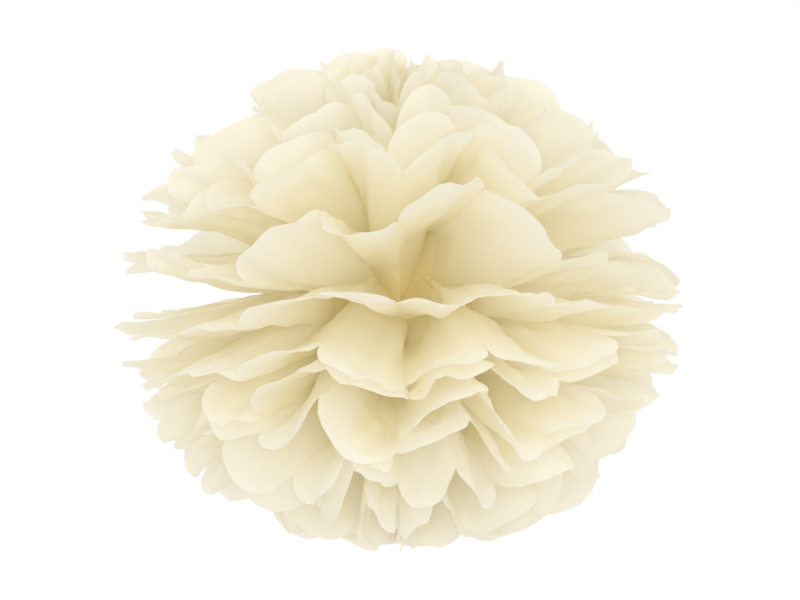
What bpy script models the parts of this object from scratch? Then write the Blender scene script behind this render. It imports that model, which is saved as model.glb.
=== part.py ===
"""Tissue paper pom pom: fourteen pleated sheets gathered at the waist by a twisted wire tie.

Every sheet is folded like an accordion, tied across the middle, cut to round ends, and pulled
away from its neighbours: seven sheets are drawn up and seven down. Each crease runs from one
rounded end through the waist to the other, so a sheet opens as two half-fans, one towards -Y
and one towards +Y. The origin is the middle of the tie, and +Z runs up the pole of the ball.
"""

import bmesh
import bpy
import numpy as np
from math import pi, radians

# The flat sheet, in metres
CREASE_LENGTH = 0.350          # from lobe tip to lobe tip, through the waist
PLEAT_WIDTH = 0.050
PLEATS = 10
LOBE_RADIUS = PLEAT_WIDTH / 2  # the folded strip's ends are cut to half-rounds
PAPER_THICKNESS = 0.0005

# The gathered waist
WAIST_HALF_WIDTH = 0.006
SHEET_PITCH = 0.0010
CROWN_NECK = 0.0020            # how far the innermost sheets run straight on each side of the tie
NECK_STEP = 0.0008             # each sheet further from the crown turns away this much later
PLEAT_OPENING = 0.110          # the pleats reach their full depth this far from the waist

# The opened fans
HALF_SPREAD = radians(86.0)    # each half-fan's side edge, measured from the Y axis
SLIT_CLOSING = 0.8             # share of the neck's length that the side edges close up again
START_SLOPES = [-67, -51, -38, -27, -18, -10, -4, 2, 8, 16, 25, 36, 49, 66]
END_SLOPES = [-89, -80, -68, -55, -42, -28, -8, 4, 26, 40, 53, 66, 78, 88]
SHEETS = len(START_SLOPES)     # counted from the lowest
CROWN_SHRINK = 0.23            # how much of its length a sheet standing upright loses to crumpling
LIFT_NOISE = radians(2.0)

# The tie
WIRE_RADIUS = 0.00045
TIE_HALF_WIDTH = 0.0078
TIE_HALF_HEIGHT = 0.0084
TIE_SQUARENESS = 0.4           # below 1 the loop's corners are fuller than an ellipse's
TAIL_START = 0.0098
TAIL_LENGTH = 0.024
TAIL_TURNS = 3
STRAND_OFFSET = 0.0008

# Mesh resolution
STRIPS_PER_PLEAT = 3
HALF_STATIONS = [0.030, 0.095]  # path lengths of the rows between the neck and the rounded end

COLLECTION = "tissue_paper_pom_pom"


def clear_scene():
    for item in list(bpy.data.objects):
        bpy.data.objects.remove(item, do_unlink=True)


def make_material(name, colour, roughness, metallic=0.0):
    material = bpy.data.materials.new(name)
    material.use_nodes = True
    shader = material.node_tree.nodes["Principled BSDF"]
    shader.inputs["Base Color"].default_value = (*colour, 1.0)
    shader.inputs["Roughness"].default_value = roughness
    shader.inputs["Metallic"].default_value = metallic
    return material


def zigzag(pleat):
    """+1 on even creases, -1 on odd ones, and straight between them."""
    return 1.0 - 2.0 * np.abs((pleat + 1.0) % 2.0 - 1.0)


def lobe_edge(pleat):
    """Length of the paper from the waist to its rounded end, at a place across the pleats."""
    across = 2.0 * (pleat % 1.0) - 1.0
    notch = CREASE_LENGTH / 2 - LOBE_RADIUS
    return notch + LOBE_RADIUS * np.sqrt(np.maximum(0.0, 1.0 - across ** 2))


def neck_length(sheet):
    """How far a sheet runs straight from the tie before it turns up or down."""
    from_crown = min(sheet, SHEETS - 1 - sheet)
    return CROWN_NECK + NECK_STEP * from_crown


def sheet_points(pleat, length, half, sheet, lifts):
    """Places on an opened sheet.

    pleat runs from 0 to PLEATS across the creases, length is the paper's length from the waist,
    and half is -1 in front and +1 behind. Past the neck the paper follows an arc in the upright
    plane of its fan angle. The creases stand off that arc to alternate sides, by as much as
    keeps every pleat at its own width.
    """
    across = 2.0 * pleat / PLEATS - 1.0
    fan = HALF_SPREAD * across
    neck = neck_length(sheet)
    start_slope = radians(START_SLOPES[sheet]) + np.interp(pleat, np.arange(PLEATS + 1), lifts)
    bend = radians(END_SLOPES[sheet] - START_SLOPES[sheet])
    upright = abs(START_SLOPES[sheet] + END_SLOPES[sheet]) / 180.0

    past_neck = np.maximum(length - neck, 0.0)
    turned = bend * past_neck / (CREASE_LENGTH / 2)
    slope = start_slope + turned
    chord = past_neck * (1.0 - CROWN_SHRINK * upright ** 3) * np.sinc(turned / 2.0 / pi)
    reach = chord * np.cos(start_slope + turned / 2.0)
    rise = chord * np.sin(start_slope + turned / 2.0)

    opening = np.clip(past_neck / PLEAT_OPENING, 0.0, 1.0)
    opening = opening * opening * (3.0 - 2.0 * opening)
    fan_width = 2.0 * HALF_SPREAD / PLEATS * reach
    depth = 0.5 * np.sqrt(np.maximum(0.0, PLEAT_WIDTH ** 2 - fan_width ** 2)) * opening
    stand_off = depth * zigzag(pleat)
    reach = reach - stand_off * np.sin(slope)
    rise = rise + stand_off * np.cos(slope)

    x = WAIST_HALF_WIDTH * across + reach * np.sin(fan)
    closing = 1.0 - SLIT_CLOSING * past_neck / (CREASE_LENGTH / 2)
    y = half * (np.minimum(length, neck) * closing + reach * np.cos(fan))
    z = SHEET_PITCH * (sheet - (SHEETS - 1) / 2) + rise
    return np.stack([x, y, z], axis=-1)


def make_sheet(name, sheet, material, collection, lifts):
    """One sheet: a flat grid carried onto its folded and opened form, then given thickness."""
    columns = PLEATS * STRIPS_PER_PLEAT
    stations = len(HALF_STATIONS) + 2
    rows = 2 * stations - 1
    mesh = bpy.data.meshes.new(name)
    grid = bmesh.new()
    bmesh.ops.create_grid(grid, x_segments=columns, y_segments=rows, size=1.0)
    flat = np.array([vertex.co[:] for vertex in grid.verts])
    column = np.round((flat[:, 0] + 1.0) / 2.0 * columns)
    row = np.round((flat[:, 1] + 1.0) / 2.0 * rows) - rows / 2.0

    pleat = column / STRIPS_PER_PLEAT
    half = np.sign(row)
    station = (np.abs(row) - 0.5).astype(int)
    lengths = np.array([neck_length(sheet), *HALF_STATIONS, 0.0])[station]
    lengths = np.where(station == stations - 1, lobe_edge(pleat), lengths)
    front = sheet_points(pleat, lengths, -1.0, sheet, lifts[0])
    back = sheet_points(pleat, lengths, 1.0, sheet, lifts[1])
    places = np.where(half[:, None] < 0, front, back)
    for vertex, place in zip(grid.verts, places):
        vertex.co = place
    grid.to_mesh(mesh)
    grid.free()

    obj = bpy.data.objects.new(name, mesh)
    collection.objects.link(obj)
    mesh.materials.append(material)
    shell = obj.modifiers.new("paper thickness", "SOLIDIFY")
    shell.thickness = PAPER_THICKNESS
    shell.offset = 0.0
    return obj


def tie_path():
    """The wire's middle line: in along one strand of the tail, once round the waist, and out."""
    tail = np.linspace(1.0, 0.0, 15)
    turn = 2.0 * pi * TAIL_TURNS * tail

    def strand(phase):
        x = TAIL_START + TAIL_LENGTH * tail
        return np.stack([x, STRAND_OFFSET * np.sin(turn + phase), STRAND_OFFSET * np.cos(turn + phase)], -1)

    start = (STRAND_OFFSET / TIE_HALF_HEIGHT) ** (1.0 / TIE_SQUARENESS)
    around = np.linspace(start, 2.0 * pi - start, 33)
    loop_x = TIE_HALF_WIDTH * np.sign(np.cos(around)) * np.abs(np.cos(around)) ** TIE_SQUARENESS
    loop_z = TIE_HALF_HEIGHT * np.sign(np.sin(around)) * np.abs(np.sin(around)) ** TIE_SQUARENESS
    loop = np.stack([loop_x, 0.0 * around, loop_z], -1)
    return np.concatenate([strand(0.0), loop, strand(pi)[::-1]])


def make_tie(material, collection):
    path = tie_path()
    curve = bpy.data.curves.new("tie_wire", "CURVE")
    curve.dimensions = "3D"
    curve.bevel_depth = WIRE_RADIUS
    curve.bevel_resolution = 1
    curve.use_fill_caps = True
    spline = curve.splines.new("POLY")
    spline.points.add(len(path) - 1)
    for point, place in zip(spline.points, path):
        point.co = (*place, 1.0)
    obj = bpy.data.objects.new("tie_wire", curve)
    collection.objects.link(obj)
    curve.materials.append(material)
    return obj


def main():
    clear_scene()
    collection = bpy.data.collections.new(COLLECTION)
    bpy.context.scene.collection.children.link(collection)
    paper = make_material("cream_tissue", (0.86, 0.78, 0.58), 0.9)
    wire = make_material("tie_steel", (0.62, 0.62, 0.60), 0.35, 1.0)

    noise = np.random.default_rng(7)
    for sheet in range(SHEETS):
        side = "upper" if sheet >= SHEETS / 2 else "lower"
        lifts = noise.uniform(-LIFT_NOISE, LIFT_NOISE, (2, PLEATS + 1))
        make_sheet(f"sheet_{SHEETS - sheet:02d}_{side}", sheet, paper, collection, lifts)
    make_tie(wire, collection)


main()
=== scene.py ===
from math import pi, radians

import bpy
import numpy as np
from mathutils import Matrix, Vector


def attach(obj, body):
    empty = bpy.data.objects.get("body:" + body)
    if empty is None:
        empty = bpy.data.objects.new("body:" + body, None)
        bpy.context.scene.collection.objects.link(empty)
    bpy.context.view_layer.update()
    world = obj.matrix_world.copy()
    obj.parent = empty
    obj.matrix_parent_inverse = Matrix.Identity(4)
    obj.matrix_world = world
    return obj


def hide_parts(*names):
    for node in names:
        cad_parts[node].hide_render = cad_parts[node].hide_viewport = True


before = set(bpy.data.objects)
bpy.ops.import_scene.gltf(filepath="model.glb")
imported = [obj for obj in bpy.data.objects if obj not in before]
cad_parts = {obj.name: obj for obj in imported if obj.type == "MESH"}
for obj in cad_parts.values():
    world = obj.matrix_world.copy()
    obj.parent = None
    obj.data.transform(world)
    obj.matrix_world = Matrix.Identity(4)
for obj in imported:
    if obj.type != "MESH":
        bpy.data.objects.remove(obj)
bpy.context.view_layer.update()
print("frame loaded:", len(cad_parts), "nodes")


# One socket of a node tree. Arithmetic on it adds Math nodes.
class Wire:

    def __init__(self, tree, socket):
        self.tree = tree
        self.socket = socket

    def node(self, kind, settings=None, **values):
        made = self.tree.nodes.new(kind)
        for key, value in (settings or {}).items():
            if key == "stops":
                fillRamp(made.color_ramp, value)
            else:
                setattr(made, key, value)
        for key, value in values.items():
            place = int(key[1:]) if key[0] == "i" and key[1:].isdigit() else key.replace("_", " ")
            target = made.inputs[place]
            if isinstance(value, Wire):
                self.tree.links.new(value.socket, target)
            else:
                target.default_value = value
        return made

    def out(self, made, name=0):
        return Wire(self.tree, made.outputs[name])

    def maths(self, operation, left, right=0.0):
        return self.out(self.node("ShaderNodeMath", {"operation": operation}, i0=left, i1=right))

    def __add__(self, other):
        return self.maths("ADD", self, other)

    def __sub__(self, other):
        return self.maths("SUBTRACT", self, other)

    def __mul__(self, other):
        return self.maths("MULTIPLY", self, other)

    def __truediv__(self, other):
        return self.maths("DIVIDE", self, other)

    def __pow__(self, other):
        return self.maths("POWER", self, other)

    def __radd__(self, other):
        return self.maths("ADD", other, self)

    def __rsub__(self, other):
        return self.maths("SUBTRACT", other, self)

    def __rmul__(self, other):
        return self.maths("MULTIPLY", other, self)

    def __rtruediv__(self, other):
        return self.maths("DIVIDE", other, self)


def fillRamp(ramp, stops):
    while len(ramp.elements) < len(stops):
        ramp.elements.new(0.5)
    for element, (place, colour) in zip(ramp.elements, stops):
        element.position = place
        element.color = (*colour, 1.0)


def newMaterial(name):
    made = bpy.data.materials.new(name)
    made.use_nodes = True
    tree = made.node_tree
    tree.nodes.clear()
    output = tree.nodes.new("ShaderNodeOutputMaterial")
    return made, Wire(tree, None), output


paper = {
    "creaseLength": 0.350,      # flat sheet, tip to tip along a crease
    "pleatWidth": 0.050,
    "pleats": 10,
    "slitHalf": 0.0008,         # the front and back fans stay this far from the surface that parts them
    "edgeShift": 9.0,           # at each side, sheets in turn lean forwards and back by this, in degrees
    "shiftStep": 1.2,           # that lean's phase grows by this from sheet to sheet, in radians
    "shiftStart": (0.5, 2.4),   # from these at -X and at +X
    "partingWave": 0.085,       # the parting surface winds to and fro
    "partingDepth": 0.013,
    "partingFade": 0.045,
    "partingSeed": 5,
    "tiedRadius": 0.012,        # it starts to wind this far from the tie
    "settledBy": 0.06,          # and takes this far to reach its full depth
    "neckHalfWidth": 0.006,     # the gathered waist
    "sheetPitch": 0.0010,
    "crownNeck": 0.0020,        # length of the straight neck at the crown and at the foot
    "neckStep": 0.0008,         # and how much longer it gets from sheet to sheet towards the middle
    "opening": 0.036,           # path length over which the pleats reach full depth
    "spread": 84.0,             # half-fan's side edge at the waist, in degrees from the Y axis
    "spreadGain": 4.5,          # and how much further round it has come at the tips
    "crownShrink": 0.10,        # length that a sheet standing upright loses to crumpling
    "poleFlattening": 0.083,    # the ball is this much lower than it would stand untouched
    "sway": 7.0,                # slow bends along a petal, in degrees, and how much more at the crown
    "crownSway": 26.0,
    "swayWaves": 1.1,           # bends between the waist and the tips
    "swaySpread": 0.9,          # how far neighbouring creases are out of step, in radians
    "stillBelow": 0.4,          # a layer with shallower pleats than this doesn't sway
    "tipFlattening": 0.75,      # how much of a pleat's bulge is gone at its tip
    "outwards": 0.7,            # share of the pleats that bulge outwards
    "bulge": (0.5, 1.1),        # least and most bulge, as a share of what the slack paper allows
    "skew": (0.6, 1.9),         # the bulge peaks early or late across the pleat
    "neckDepth": 0.88,          # depth of every pleat near the waist
    "leastDepth": 0.15,
    "mostDepth": 0.95,
    "liftRate": 2.5,            # a crease has its whole lift at 1 / this of its length
    "curlFrom": 0.35,           # tips curl from this share of the length outwards
    "mostSag": 0.40,            # a pleat bulges by no more than this share of its width
    "trimNoise": 0.012,         # uneven cutting of the ends, as a share of their length
    "fanGap": 3.0,              # least angle between one sheet and the next, in degrees
    "neckGap": 0.3,             # and at the neck
    "liftStep": 1.5,            # change at a crease from one sheet to the next, in degrees
    "swingStep": 1.3,
    "depthStep": 0.04,          # the same for the depth, as a share
    "handLift": 0.25,           # share of the chance lift and swing left where petals are set one by one
    "handSwing": 0.4,
    "crumple": 0.0006,
    "crumpleWave": 0.022,
    "flute": 0.0016,            # soft lengthwise folds left by the gathering
    "fluteWave": 0.021,
    "crownFlute": 0.5,          # how much deeper they are in the sheets that stand upright
    "ripple": 0.0007,
    "rippleWave": 0.013,
    "strips": 14,               # mesh strips across one pleat
    "rows": 56,                 # mesh rows from the neck to the tips
    "sharpAngle": 55.0,         # folds sharper than this, in degrees, show as creases
    "seed": 11,
}

# For each sheet: slope at the neck and at the tips and how late it bends, the turn of its fan,
# the depth of its pleats as a share of the deepest, and the curl of its tips. Angles are in degrees.
layers = {
    "sheet_01_upper": {"start": 78, "end": 74, "late": 1.0, "turn": 3, "depth": 0.90, "curl": 22},
    "sheet_02_upper": {"start": 66, "end": 58, "late": 1.0, "turn": 1, "depth": 0.84, "curl": 20},
    "sheet_03_upper": {"start": 56, "end": 42, "late": 1.0, "turn": -1, "depth": 0.78, "curl": 18},
    "sheet_04_upper": {"start": 46, "end": 30, "late": 1.0, "turn": -2, "depth": 0.74, "curl": 18},
    "sheet_05_upper": {"start": 36, "end": 20, "late": 1.0, "turn": -1, "depth": 0.70, "curl": 18},
    "sheet_06_upper": {"start": 24, "end": 10, "late": 1.0, "turn": 0, "depth": 0.66, "curl": 16},
    "sheet_07_upper": {"start": -1, "end": 2, "late": 1.3, "turn": 0, "depth": 0.35, "curl": 3},
    "sheet_08_lower": {"start": -8, "end": -12, "late": 1.0, "turn": 0, "depth": 0.50, "curl": 8},
    "sheet_09_lower": {"start": -26, "end": -10, "late": 1.0, "turn": 0, "depth": 0.66, "curl": 16},
    "sheet_10_lower": {"start": -35, "end": -18, "late": 1.0, "turn": -1, "depth": 0.70, "curl": 18},
    "sheet_11_lower": {"start": -45, "end": -28, "late": 1.0, "turn": 0, "depth": 0.74, "curl": 18},
    "sheet_12_lower": {"start": -55, "end": -40, "late": 1.0, "turn": 1, "depth": 0.78, "curl": 18},
    "sheet_13_lower": {"start": -65, "end": -56, "late": 1.0, "turn": 0, "depth": 0.84, "curl": 20},
    "sheet_14_lower": {"start": -78, "end": -74, "late": 1.0, "turn": -2, "depth": 0.90, "curl": 22},
}

# Petals set one by one in the front fans, from -X to +X. Each crease has a lift and a swing in degrees
# and a depth. Each pleat has a curl in degrees and a belly: how far, and to which side, it bulges.
arranged = {
    "sheet_03_upper": {
        "lift": [-14, -12, -9, -5, -2, 0, 0, -3, -5, -8, -10],
    },
    "sheet_04_upper": {
        "lift": [-12, -12, -9, -5, -2, 1, 0, -3, -4, -6, -8],
    },
    "sheet_05_upper": {
        "lift": [-14, -10, -5, -2, 2, 4, 6, 0, -8, -12, -10],
        "swing": [0, 0, 0, -1, -1, 2, 5, 3, 1, 0, 0],
        "depth": [0.35, 0.35, 0.45, 0.60, 0.70, 0.75, 0.75, 0.70, 0.80, 0.90, 0.90],
    },
    "sheet_06_upper": {
        "lift": [-10, -12, -13, -12, -3, 8, 8, -10, -15, -16, -14],
        "swing": [0, 0, 0, -1, -2, 0, 3, 2, 0, 0, 0],
        "depth": [0.20, 0.25, 0.35, 0.55, 0.85, 0.90, 0.80, 0.50, 0.40, 0.60, 0.80],
        "belly": [-0.6, -0.8, -0.9, -0.7, -0.9, 0.5, -0.1, -0.3, -0.5, -0.7],
    },
    "sheet_07_upper": {
        "lift": [-8, -10, -12, -8, 0, 0.5, 0, -1, -3, -4, -4],
        "curl": [2, 2, 3, 6, 5, -4, 4, 3, 2, 2],
        "depth": [0.15, 0.20, 0.25, 0.20, 0.08, 0.04, 0.08, 0.15, 0.25, 0.50, 0.60],
    },
    "sheet_08_lower": {
        "lift": [-8, -8, -8, -6, -6, -8, -8, -4, 2, 2, 0],
        "swing": [0, 0, 0, -1, -1, 1, 2, 1, 0, 0, 0],
        "depth": [0.15, 0.20, 0.30, 0.55, 0.80, 0.85, 0.75, 0.40, 0.25, 0.50, 0.80],
        "belly": [0.5, 0.6, 0.9, 0.8, 0.9, -0.5, 0.7, 0.4, 0.5, 0.7],
    },
    "sheet_09_lower": {
        "lift": [16, 10, -4, -8, -4, 2, 0, 4, 6, 4, 2],
        "swing": [0, 0, 0, -1, -1, 2, 4, 2, 1, 0, 0],
        "depth": [0.20, 0.25, 0.40, 0.60, 0.70, 0.75, 0.70, 0.60, 0.60, 0.80, 0.90],
    },
    "sheet_10_lower": {
        "lift": [0, 0, 2, 3, 0, 0, 0, 2, 3, 4, 4],
        "swing": [0, 0, -1, -2, -2, 1, 3, 2, 1, 0, 0],
    },
}


def smoothStep(x):
    # 3x^2 - 2x^3 between 0 and 1
    x = np.clip(x, 0.0, 1.0)
    return x * x * (3.0 - 2.0 * x)


def lobeEdge(pleat):
    # a half circle of the pleat's width on the end of every pleat
    radius = paper["pleatWidth"] / 2
    across = 2.0 * (pleat % 1.0) - 1.0
    return paper["creaseLength"] / 2 - radius + radius * np.sqrt(np.maximum(0.0, 1.0 - across ** 2))


def pleatColumns():
    # pleat number plus (1 - cos(pi f)) / 2, so that the columns crowd towards the creases
    f = (1.0 - np.cos(pi * np.arange(paper["strips"]) / paper["strips"])) / 2
    columns = (np.arange(paper["pleats"])[:, None] + f[None, :]).ravel()
    return np.append(columns, paper["pleats"])


def betweenCreases(columns, values):
    # straight interpolation of one value a crease
    return np.interp(columns, np.arange(paper["pleats"] + 1), values)


def wandering(count, step, rng):
    # one value a crease for every sheet, as a random walk from the middle sheets outwards
    # the sheets were folded together, so neighbours have nearly the same creases
    steps = rng.normal(0.0, step, (count, paper["pleats"] + 1))
    middle = count // 2
    return np.concatenate([np.cumsum(steps[:middle][::-1], axis=0)[::-1], np.cumsum(steps[middle:], axis=0)])


def halfSheet(number, count, layer, half, columns, lean, wander, rng):
    # path: x(l) = integral of cos(slope), z(l) = integral of sin(slope), in the plane of the fan angle
    pleats = paper["pleats"]
    across = 2.0 * columns / pleats - 1.0
    neck = paper["crownNeck"] + paper["neckStep"] * min(number, count - 1 - number)
    full = paper["creaseLength"] / 2

    rowShare = np.linspace(0.0, 1.0, paper["rows"] + 1)[None, :]
    trim = 1.0 + betweenCreases(columns, rng.normal(0.0, paper["trimNoise"], pleats + 1))
    edge = (lobeEdge(columns) * trim)[:, None]
    length = neck + (edge - neck) * rowShare                    # paper length from the waist
    past = length - neck
    t = past / full

    sign = 1.0 if layer["start"] + layer["end"] > 0 else -1.0
    lift = wander["lift"][number].copy()
    swing = wander["swing"][number]
    curl = rng.normal(0.0, 1.0, pleats) * layer["curl"] * sign
    outwards = [paper["outwards"], 1.0 - paper["outwards"]]
    belly = -sign * rng.choice([1.0, -1.0], pleats, p=outwards) * rng.uniform(*paper["bulge"], pleats)
    skew = rng.uniform(*paper["skew"], pleats)
    depthShare = layer["depth"] + wander["depth"][number]
    depthShare = np.clip(depthShare, paper["leastDepth"], paper["mostDepth"])
    byHand = arranged.get(layer["name"], {})
    level = np.zeros(pleats + 1)
    if half < 0:
        lift = byHand.get("lift", level) + lift * (paper["handLift"] if byHand else 1.0)
        swing = byHand.get("swing", level) + swing * (paper["handSwing"] if byHand else 1.0)
        curl = np.array(byHand["curl"]) * sign if "curl" in byHand else curl
        depthShare = np.array(byHand.get("depth", depthShare))
        belly = np.array(byHand.get("belly", belly))
    else:                                                       # the side edges run on through the waist
        left, right = np.array(byHand.get("lift", level))[[0, -1]]
        lift[:2] += left * np.array([1.0, 0.6]) - lift[0] * np.array([0.8, 0.0])
        lift[-2:] += right * np.array([0.6, 1.0]) - lift[-1] * np.array([0.0, 0.8])

    panel = np.minimum(columns.astype(int), pleats - 1)
    f = columns - panel
    curlHere = curl[panel] * np.sin(pi * np.clip(f, 0.02, 0.98)) ** 0.5
    slope = layer["start"] + (layer["end"] - layer["start"]) * t ** layer["late"]
    slope = slope + betweenCreases(columns, lift)[:, None] * np.minimum(1.0, t * paper["liftRate"]) ** 0.7
    upright = abs(layer["start"] + layer["end"]) / 180.0
    phases = rng.normal(0.0, paper["swaySpread"], pleats + 1) + rng.uniform(0.0, 2.0 * pi)
    phase = betweenCreases(columns, phases)[:, None]
    sway = paper["sway"] + paper["crownSway"] * upright ** 2
    if layer["depth"] >= paper["stillBelow"]:
        slope = slope + sway * np.sin(2.0 * pi * paper["swayWaves"] * t + phase) * smoothStep(t * 3.0)
    curled = smoothStep((t - paper["curlFrom"]) / (1.0 - paper["curlFrom"])) ** 1.2
    slope = radians(1.0) * (slope + curlHere[:, None] * curled)

    shrink = 1.0 - paper["crownShrink"] * upright ** 3
    step = np.diff(past, axis=1) * shrink
    middle = (slope[:, 1:] + slope[:, :-1]) / 2
    start = np.zeros((len(columns), 1))
    reach = np.concatenate([start, np.cumsum(step * np.cos(middle), axis=1)], axis=1)
    rise = np.concatenate([start, np.cumsum(step * np.sin(middle), axis=1)], axis=1)

    spread = paper["spread"] + paper["spreadGain"] * t
    inside = np.sin(pi * columns / pleats)[:, None] ** 0.5
    turned = (betweenCreases(columns, swing)[:, None] * inside + layer["turn"] * inside) * smoothStep(t * 1.5)
    beyond = np.where(across < 0, -lean[0], lean[1])[:, None] * across[:, None] ** 2 * smoothStep(t * 1.5)
    fan = radians(1.0) * (spread * across[:, None] + turned + beyond)

    opening = smoothStep(past / paper["opening"])
    fanWidth = 2.0 * radians(paper["spread"]) / pleats * reach
    slack = np.maximum(0.0, paper["pleatWidth"] ** 2 - fanWidth ** 2)
    fullDepth = 0.5 * np.sqrt(slack) * opening
    tipDepth = betweenCreases(columns, depthShare)[:, None]
    zig = (1.0 - 2.0 * np.abs((columns + 1.0) % 2.0 - 1.0))[:, None]
    depth = fullDepth * (paper["neckDepth"] + (tipDepth - paper["neckDepth"]) * smoothStep(t * 1.3))
    chord = np.sqrt(fanWidth ** 2 + 4.0 * depth ** 2)
    # a shallow arc of paper over a chord: sag = chord * sqrt(3 / 8 * spare length / chord)
    spare = np.maximum(0.0, paper["pleatWidth"] / np.maximum(chord, 0.004) - 1.0)
    sag = np.minimum(chord * np.sqrt(0.375 * spare), paper["mostSag"] * chord) * opening
    sag = sag * (1.0 - paper["tipFlattening"] * smoothStep((t - 0.45) / 0.5))
    hump = sag * np.sin(pi * f ** skew[panel])[:, None] * belly[panel][:, None]
    steep = np.where(panel % 2 == 0, -1.0, 1.0)[:, None] * 2.0 * depth / np.maximum(chord, 1e-6)
    flat = fanWidth / np.maximum(chord, 1e-6)

    standOff = depth * zig + hump * flat
    sideways = -hump * steep
    radial = reach - standOff * np.sin(slope)
    up = rise + standOff * np.cos(slope)
    x = paper["neckHalfWidth"] * across[:, None] + radial * np.sin(fan) + sideways * np.cos(fan)
    y = neck * (1.0 - 0.9 * t) + radial * np.cos(fan) - sideways * np.sin(fan)
    z = paper["sheetPitch"] * (number - (count - 1) / 2) + up
    return np.stack([x, y, z], axis=-1), length


def keepOrder(fans, lengths):
    # elevation = atan2(z, sqrt(x^2 + y^2)): each sheet's stays a gap above that of the next lower one
    x, y, z = fans[..., 0], fans[..., 1], fans[..., 2]
    flatReach = np.hypot(x, y)
    radius = np.hypot(flatReach, z)
    elevation = np.arctan2(z, flatReach)
    gap = radians(paper["fanGap"]) * smoothStep(lengths / 0.12) + radians(paper["neckGap"])
    middle = len(fans) // 2
    for number in range(middle + 1, len(fans)):
        elevation[number] = np.maximum(elevation[number], elevation[number - 1] + gap[number])
    for number in range(middle - 1, -1, -1):
        elevation[number] = np.minimum(elevation[number], elevation[number + 1] - gap[number])
    elevation = np.clip(elevation, -pi / 2, pi / 2)
    stretch = radius * np.cos(elevation) / np.maximum(flatReach, 1e-6)
    return np.stack([x * stretch, y * stretch, radius * np.sin(elevation)], axis=-1)


def parted(places, half, leans):
    # y >= slit - |x| tan(lean) on the front and + on the back, so that the two fans lean past each other
    x, y, z = places[..., 0], places[..., 1], places[..., 2]
    lean = radians(1.0) * np.where(x < 0, leans[:, None, None, 0], leans[:, None, None, 1])
    edge = np.abs(x) * np.tan(lean) * (1.0 if half > 0 else -1.0)
    y = half * np.maximum(y, edge + paper["slitHalf"])
    # then the whole of space near the slit moves by depth * noise(x, z) * exp(-|y| / fade)
    winding = smoothNoise(x, z, paper["partingWave"], 7, np.random.default_rng(paper["partingSeed"]))
    settled = smoothStep((np.hypot(x, z) - paper["tiedRadius"]) / paper["settledBy"])
    y = y + paper["partingDepth"] * winding * settled * np.exp(-np.abs(y) / paper["partingFade"])
    return np.stack([x, y, z * (1.0 - paper["poleFlattening"])], axis=-1)


def smoothNoise(u, v, wave, waves, rng):
    # sum of sin(2 pi (u cos a + v sin a) / length + phase) over random directions, / sqrt(waves)
    total = np.zeros_like(u)
    for _ in range(waves):
        angle, phase = rng.uniform(0.0, 2.0 * pi, 2)
        length = wave * rng.uniform(0.7, 1.5)
        total = total + np.sin(2.0 * pi * (u * np.cos(angle) + v * np.sin(angle)) / length + phase)
    return total / np.sqrt(waves)


def crumpled(places, columns, lengths, upright, rng):
    # place + normal * (soft crumple + lengthwise flutes + ripple along the cut edge)
    u = np.repeat(columns[:, None] * paper["pleatWidth"], lengths.shape[1], axis=1)
    normal = np.cross(np.gradient(places, axis=0), np.gradient(places, axis=1))
    normal = normal / np.maximum(np.linalg.norm(normal, axis=-1, keepdims=True), 1e-12)
    t = np.abs(lengths) / (paper["creaseLength"] / 2)
    crumple = paper["crumple"] * smoothNoise(u, lengths, paper["crumpleWave"], 14, rng) * smoothStep(t * 1.5)
    height = paper["flute"] * (1.0 + paper["crownFlute"] * upright)
    flutes = height * smoothNoise(u, lengths * 0.12, paper["fluteWave"], 12, rng) * smoothStep(t * 1.6 - 0.2)
    ripple = paper["ripple"] * smoothNoise(u, lengths * 0.4, paper["rippleWave"], 9, rng) * t ** 7
    return places + normal * (crumple + flutes + ripple)[..., None]


def gridMesh(name, places, flat):
    # quads between neighbouring columns and rows, facing up the pole, with the flat sheet as the UV map
    nu, nv = places.shape[:2]
    index = np.arange(nu * nv).reshape(nu, nv)
    corners = [index[:-1, :-1], index[1:, :-1], index[1:, 1:], index[:-1, 1:]]
    quads = np.stack(corners, axis=-1).reshape(-1, 4)
    mesh = bpy.data.meshes.new(name)
    mesh.vertices.add(nu * nv)
    mesh.vertices.foreach_set("co", places.astype(np.float32).ravel())
    mesh.loops.add(quads.size)
    mesh.loops.foreach_set("vertex_index", quads.astype(np.int32).ravel())
    mesh.polygons.add(len(quads))
    mesh.polygons.foreach_set("loop_start", np.arange(0, quads.size, 4, dtype=np.int32))
    mesh.polygons.foreach_set("loop_total", np.full(len(quads), 4, dtype=np.int32))
    uv = mesh.uv_layers.new(name="flatSheet")
    uv.data.foreach_set("uv", flat.reshape(-1, 2)[quads.ravel()].astype(np.float32).ravel())
    mesh.update(calc_edges=True)
    mesh.validate()
    mesh.shade_smooth()
    mesh.set_sharp_from_angle(angle=radians(paper["sharpAngle"]))
    made = bpy.data.objects.new(name, mesh)
    bpy.context.scene.collection.objects.link(made)
    return made


# Along the paper from the waist to the tips: its colour, deepened to golden towards the waist as painted
# shade, and a painted golden glow deep between the layers
tissueFinish = {
    # painted shade: golden near the waist, where the deep layers are, paling to cream at the tips
    "stops": [(0.0, (0.985, 0.86, 0.44)), (0.30, (0.985, 0.90, 0.56)), (0.58, (0.985, 0.93, 0.71)),
              (0.85, (0.985, 0.952, 0.81)), (1.0, (0.985, 0.962, 0.855))],
    "through": (0.985, 0.942, 0.785),
    "letThrough": 0.60,                # share of the light that passes through
    # painted glow: golden emission near the waist, gone by 0.42 of the length
    "paintedGlow": [(0.0, (0.115, 0.105, 0.060)), (0.15, (0.095, 0.083, 0.046)), (0.42, (0.0, 0.0, 0.0))],
    "roughness": 0.85,
    "specular": 0.15,
    "creases": (150.0, 9.0, 1.0),      # fine creases a metre across and along the pleats
    "creaseDepth": 0.0009,
    "creaseStrength": 0.55,
    "foldScale": 55.0,                 # sharp little folds a metre
    "foldWidth": 0.12,
    "foldShare": 0.5,
    "mottle": 0.05,
    "mottleScale": 28.0,
}
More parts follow.
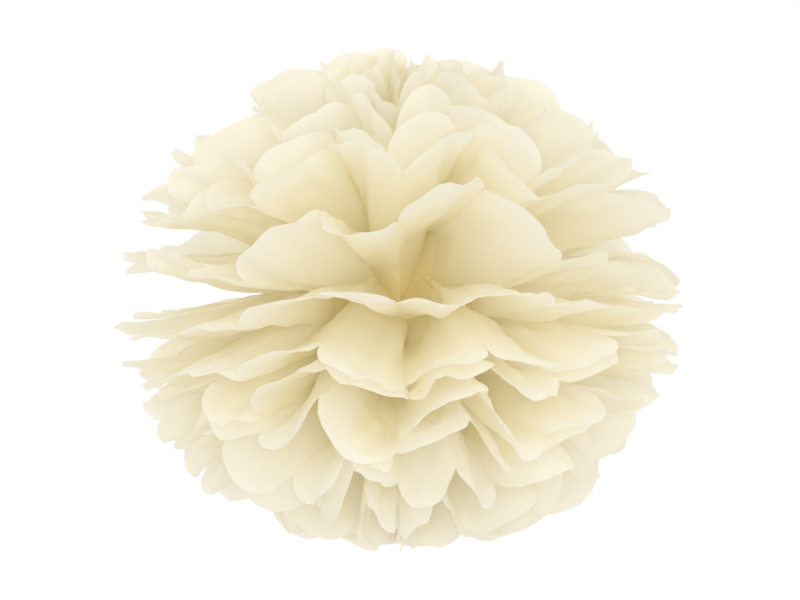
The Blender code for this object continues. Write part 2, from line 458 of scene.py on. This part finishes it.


# Thin cream tissue, its colour deepened to golden towards the waist as painted shade, with fine lengthwise
# creases
def creamTissue():
    made, w, output = newMaterial("creamTissue")
    flat = w.out(w.node("ShaderNodeUVMap", {"uv_map": "flatSheet"}))
    parts = w.node("ShaderNodeSeparateXYZ", i0=flat)
    along = w.maths("ABSOLUTE", w.out(parts, "Y")) / (paper["creaseLength"] / 2)
    mottle = w.node("ShaderNodeTexNoise", Vector=flat, Scale=tissueFinish["mottleScale"], Detail=3.0)
    shifted = along + (w.out(mottle, "Fac") - 0.5) * tissueFinish["mottle"] * 2.0
    # painted shade: the base colour deepens to golden towards the waist
    colour = w.out(w.node("ShaderNodeValToRGB", {"stops": tissueFinish["stops"]}, Fac=shifted))
    stretched = w.out(w.node("ShaderNodeMapping", Vector=flat, Scale=tissueFinish["creases"]))
    streaks = w.node("ShaderNodeTexNoise", Vector=stretched, Scale=1.0, Detail=4.0, Roughness=0.6)
    folds = w.node("ShaderNodeTexVoronoi", {"feature": "DISTANCE_TO_EDGE"}, Vector=flat,
                   Scale=tissueFinish["foldScale"])
    fold = w.maths("MINIMUM", w.out(folds, "Distance"), tissueFinish["foldWidth"])
    height = w.out(streaks, "Fac") + tissueFinish["foldShare"] * fold
    bump = w.node("ShaderNodeBump", Height=height, Strength=tissueFinish["creaseStrength"],
                  Distance=tissueFinish["creaseDepth"])
    # painted glow: the paper near the waist gives off a faint golden light
    paintedGlowColour = w.out(w.node("ShaderNodeValToRGB", {"stops": tissueFinish["paintedGlow"]}, Fac=along))
    body = w.node("ShaderNodeBsdfPrincipled", Base_Color=colour, Emission_Color=paintedGlowColour, Normal=w.out(bump))
    body.inputs["Emission Strength"].default_value = 1.0
    body.inputs["Roughness"].default_value = tissueFinish["roughness"]
    body.inputs["Specular IOR Level"].default_value = tissueFinish["specular"]
    glow = w.node("ShaderNodeBsdfTranslucent", Normal=w.out(bump))
    glow.inputs["Color"].default_value = (*tissueFinish["through"], 1.0)
    mix = w.node("ShaderNodeMixShader", i0=tissueFinish["letThrough"], i1=w.out(body), i2=w.out(glow))
    w.tree.links.new(mix.outputs[0], output.inputs["Surface"])
    return made


tieFinish = {
    "steel": (0.58, 0.58, 0.56),
    "worn": (0.70, 0.70, 0.68),
    "roughness": 0.28,
    "roughnessRange": 0.2,
    "drawnScale": 1400.0,
    "drawnStrength": 0.4,
    "drawnDepth": 0.00003,
}


# Drawn steel wire: faint grey variation, and a satin that changes a little along it
def tieSteel():
    made, w, output = newMaterial("tieSteel")
    place = w.out(w.node("ShaderNodeTexCoord"), "Object")
    noise = w.node("ShaderNodeTexNoise", Vector=place, Scale=tieFinish["drawnScale"], Detail=3.0)
    drawn = w.out(noise, "Fac")
    stops = [(0.3, tieFinish["steel"]), (0.7, tieFinish["worn"])]
    colour = w.out(w.node("ShaderNodeValToRGB", {"stops": stops}, Fac=drawn))
    bump = w.out(w.node("ShaderNodeBump", Height=drawn, Strength=tieFinish["drawnStrength"],
                        Distance=tieFinish["drawnDepth"]))
    satin = tieFinish["roughness"] + tieFinish["roughnessRange"] * drawn
    body = w.node("ShaderNodeBsdfPrincipled", Base_Color=colour, Roughness=satin, Normal=bump)
    body.inputs["Metallic"].default_value = 1.0
    w.tree.links.new(body.outputs[0], output.inputs["Surface"])
    return made


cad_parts["tie_wire"].material_slots[0].material = tieSteel()
tissue = creamTissue()
rng = np.random.default_rng(paper["seed"])
names = list(layers)[::-1]                                      # from the lowest
columns = pleatColumns()
count = len(names)
phases = paper["shiftStep"] * np.arange(count)[:, None] + np.array(paper["shiftStart"])
leans = paper["edgeShift"] * np.sin(phases)                     # at -X and at +X, for each sheet
fans = {}
for half in (-1, 1):
    wander = {key: wandering(count, paper[key + "Step"], rng) for key in ("swing", "lift", "depth")}
    made = []
    for number, name in enumerate(names):
        layer = {**layers[name], "name": name}
        made.append(halfSheet(number, count, layer, half, columns, -half * leans[number], wander, rng))
    lengths = np.stack([length for _, length in made])
    ordered = keepOrder(np.stack([place for place, _ in made]), lengths)
    fans[half] = parted(ordered, half, leans), lengths * half
print("fans set out:", 2 * count)

for number, name in enumerate(names):
    (front, frontLengths), (back, backLengths) = fans[-1], fans[1]
    places = np.concatenate([front[number][:, ::-1], back[number]], axis=1)     # front tips to back tips
    lengths = np.concatenate([frontLengths[number][:, ::-1], backLengths[number]], axis=1)
    upright = abs(layers[name]["start"] + layers[name]["end"]) / 180.0
    places = crumpled(places, columns, lengths, upright, rng)
    flatU = np.repeat(columns[:, None] * paper["pleatWidth"], lengths.shape[1], axis=1)
    sheet = gridMesh("tissue_" + name, places, np.stack([flatU, lengths], axis=-1))
    sheet.data.materials.append(tissue)
    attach(sheet, "root")
    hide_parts(name)
print("sheets made:", count)


stage = {
    "floorDrop": 3.0,
    "floorSize": 40.0,
    "floorColour": (0.95, 0.95, 0.95, 1.0),
    "floorRoughness": 0.9,
    "floorLight": 0.12,
    "floorGlow": 0.15,          # seen by the camera only
    "roomLight": 0.81,
    "lights": {                 # place, width and power
        "keyLight": ((0.8, -1.3, 0.8), 1.2, 3.8),
        "frontLight": ((0.1, -1.8, 0.1), 0.6, 7.0),
        "backGlow": ((-0.7, 1.5, 0.8), 1.4, 6.0),
    },
    "distance": 1.64,
    "lens": 120.0,
    "gamma": 1.3,
    "bounces": 10,
}
white = (1.0, 1.0, 1.0, 1.0)


# A plain pale floor, which shows a little paler than it lights what is above it
def makeFloor():
    size = stage["floorSize"] / 2
    mesh = bpy.data.meshes.new("floor")
    corners = [(-size, -size, 0), (size, -size, 0), (size, size, 0), (-size, size, 0)]
    mesh.from_pydata([(x, y, -stage["floorDrop"]) for x, y, _ in corners], [], [(0, 1, 2, 3)])
    made = bpy.data.objects.new("floor", mesh)
    bpy.context.scene.collection.objects.link(made)
    material, w, output = newMaterial("paleFloor")
    plain = w.node("ShaderNodeBsdfPrincipled", Roughness=stage["floorRoughness"])
    plain.inputs["Base Color"].default_value = stage["floorColour"]
    plain.inputs["Emission Color"].default_value = white
    plain.inputs["Emission Strength"].default_value = stage["floorLight"]
    glow = w.node("ShaderNodeEmission", Strength=stage["floorGlow"])
    paler = w.node("ShaderNodeAddShader", i0=w.out(plain), i1=w.out(glow))
    ray = w.out(w.node("ShaderNodeLightPath"), "Is Camera Ray")
    seen = w.node("ShaderNodeMixShader", i0=ray, i1=w.out(plain), i2=w.out(paler))
    w.tree.links.new(seen.outputs[0], output.inputs["Surface"])
    mesh.materials.append(material)


def softBox(name, place, size, power):
    light = bpy.data.lights.new(name, "AREA")
    light.shape = "DISK"
    light.size = size
    light.energy = power
    made = bpy.data.objects.new(name, light)
    made.location = place
    made.rotation_euler = (-Vector(place)).to_track_quat("-Z", "Y").to_euler()
    bpy.context.scene.collection.objects.link(made)


# A white surround: seen as white, and lighting the room a little less
def makeWorld():
    world = bpy.data.worlds.new("studioWhite")
    world.use_nodes = True
    tree = world.node_tree
    seen = tree.nodes["Background"]
    seen.inputs["Color"].default_value = white
    w = Wire(tree, None)
    lit = w.node("ShaderNodeBackground", Color=white, Strength=stage["roomLight"])
    ray = w.out(w.node("ShaderNodeLightPath"), "Is Camera Ray")
    mix = w.node("ShaderNodeMixShader", i0=ray, i1=w.out(lit), i2=w.out(seen))
    tree.links.new(mix.outputs[0], tree.nodes["World Output"].inputs["Surface"])
    bpy.context.scene.world = world


def makeCamera():
    data = bpy.data.cameras.new("camera")
    data.lens = stage["lens"]
    made = bpy.data.objects.new("camera", data)
    made.location = (0, -stage["distance"], 0)
    made.rotation_euler = (radians(90), 0, 0)
    bpy.context.scene.collection.objects.link(made)
    bpy.context.scene.camera = made


makeFloor()
for name, (place, size, power) in stage["lights"].items():
    softBox(name, place, size, power)
makeWorld()
bpy.context.scene.view_settings.view_transform = "Standard"
bpy.context.scene.view_settings.gamma = stage["gamma"]
bpy.context.scene.cycles.diffuse_bounces = stage["bounces"]
makeCamera()
print("stage set: floor,", len(stage["lights"]), "lights and camera")
